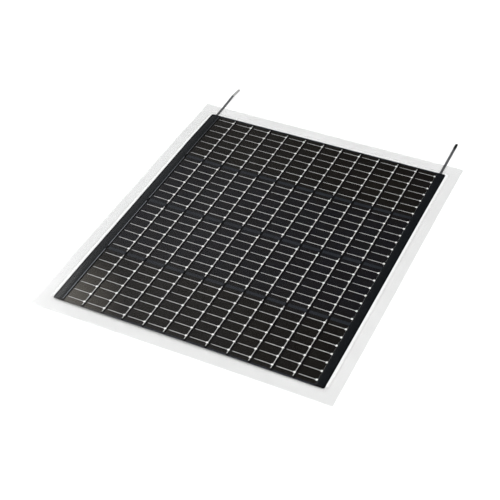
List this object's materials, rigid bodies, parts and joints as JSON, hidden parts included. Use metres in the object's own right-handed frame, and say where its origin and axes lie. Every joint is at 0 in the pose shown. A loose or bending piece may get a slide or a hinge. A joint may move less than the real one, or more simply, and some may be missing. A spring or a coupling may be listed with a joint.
{
  "type": "flexible solar sheet",
  "caption": "Thin bendable photovoltaic sheet: a dark web of printed cells sealed in clear film, with a flat ribbon lead near each corner of one end.",
  "frame": {"origin": "centre of the sheet's rear face, the face that is bonded to what carries it", "axes": "+X across the cells, +Y along the cells towards the end that the ribbon leads leave, +Z out of the front face"},
  "size_m": [0.27, 0.3617, 0.0016],
  "materials": {
    "rear_film": "clear satin polyester",
    "front_film": "clear fluoropolymer, finely embossed",
    "adhesive": "clear, slightly milky",
    "carrier": "dark blue-black",
    "cell_film": "near-black brown thin film",
    "silver_print": "matt printed silver",
    "tinned_copper": "tinned, slightly dull",
    "cover_tape": "black tape"
  },
  "bodies": {
    "section_1": {"rear_film_1": "rear_film", "rear_adhesive_1": "adhesive", "carrier_1": "carrier", "cells_1": "cell_film", "grid_1": "silver_print", "front_adhesive_1": "adhesive", "front_film_1": "front_film", "bus_contact_left": "silver_print", "bus_ribbon_left": "tinned_copper", "edge_cover_left": "cover_tape"},
    "section_2": {"rear_film_2": "rear_film", "rear_adhesive_2": "adhesive", "carrier_2": "carrier", "cells_2": "cell_film", "grid_2": "silver_print", "front_adhesive_2": "adhesive", "front_film_2": "front_film"},
    "section_3": {"rear_film_3": "rear_film", "rear_adhesive_3": "adhesive", "carrier_3": "carrier", "cells_3": "cell_film", "grid_3": "silver_print", "front_adhesive_3": "adhesive", "front_film_3": "front_film"},
    "section_4": {"rear_film_4": "rear_film", "rear_adhesive_4": "adhesive", "carrier_4": "carrier", "cells_4": "cell_film", "grid_4": "silver_print", "front_adhesive_4": "adhesive", "front_film_4": "front_film"},
    "section_5": {"rear_film_5": "rear_film", "rear_adhesive_5": "adhesive", "carrier_5": "carrier", "cells_5": "cell_film", "grid_5": "silver_print", "front_adhesive_5": "adhesive", "front_film_5": "front_film"},
    "section_6": {"rear_film_6": "rear_film", "rear_adhesive_6": "adhesive", "carrier_6": "carrier", "cells_6": "cell_film", "grid_6": "silver_print", "front_adhesive_6": "adhesive", "front_film_6": "front_film", "bus_contact_right": "silver_print", "bus_ribbon_right": "tinned_copper", "edge_cover_right": "cover_tape"},
    "ribbon_lead_left": {"lead_left": "tinned_copper"},
    "ribbon_lead_right": {"lead_right": "tinned_copper"}
  },
  "joints": [
    {"name": "flex_1", "type": "hinge", "parent": "section_2", "child": "section_1", "pos_m": [-0.07485, 0, 0.00055], "axis": [0, 1, 0], "range_deg": [-22, 22], "stiffness_Nm_per_rad": 0.12},
    {"name": "flex_2", "type": "hinge", "parent": "section_3", "child": "section_2", "pos_m": [-0.03675, 0, 0.00055], "axis": [0, 1, 0], "range_deg": [-22, 22], "stiffness_Nm_per_rad": 0.12},
    {"name": "flex_3", "type": "hinge", "parent": "section_3", "child": "section_4", "pos_m": [0.00135, 0, 0.00055], "axis": [0, -1, 0], "range_deg": [-22, 22], "stiffness_Nm_per_rad": 0.12},
    {"name": "flex_4", "type": "hinge", "parent": "section_4", "child": "section_5", "pos_m": [0.03945, 0, 0.00055], "axis": [0, -1, 0], "range_deg": [-22, 22], "stiffness_Nm_per_rad": 0.12},
    {"name": "flex_5", "type": "hinge", "parent": "section_5", "child": "section_6", "pos_m": [0.07755, 0, 0.00055], "axis": [0, -1, 0], "range_deg": [-22, 22], "stiffness_Nm_per_rad": 0.12},
    {"name": "lead_bend_left", "type": "hinge", "parent": "section_1", "child": "ribbon_lead_left", "pos_m": [-0.1172, 0.16317, 0.0006], "axis": [1, 0, 0], "range_deg": [-90, 90]},
    {"name": "lead_bend_right", "type": "hinge", "parent": "section_6", "child": "ribbon_lead_right", "pos_m": [0.1172, 0.16317, 0.0006], "axis": [1, 0, 0], "range_deg": [-90, 90]}
  ]
}
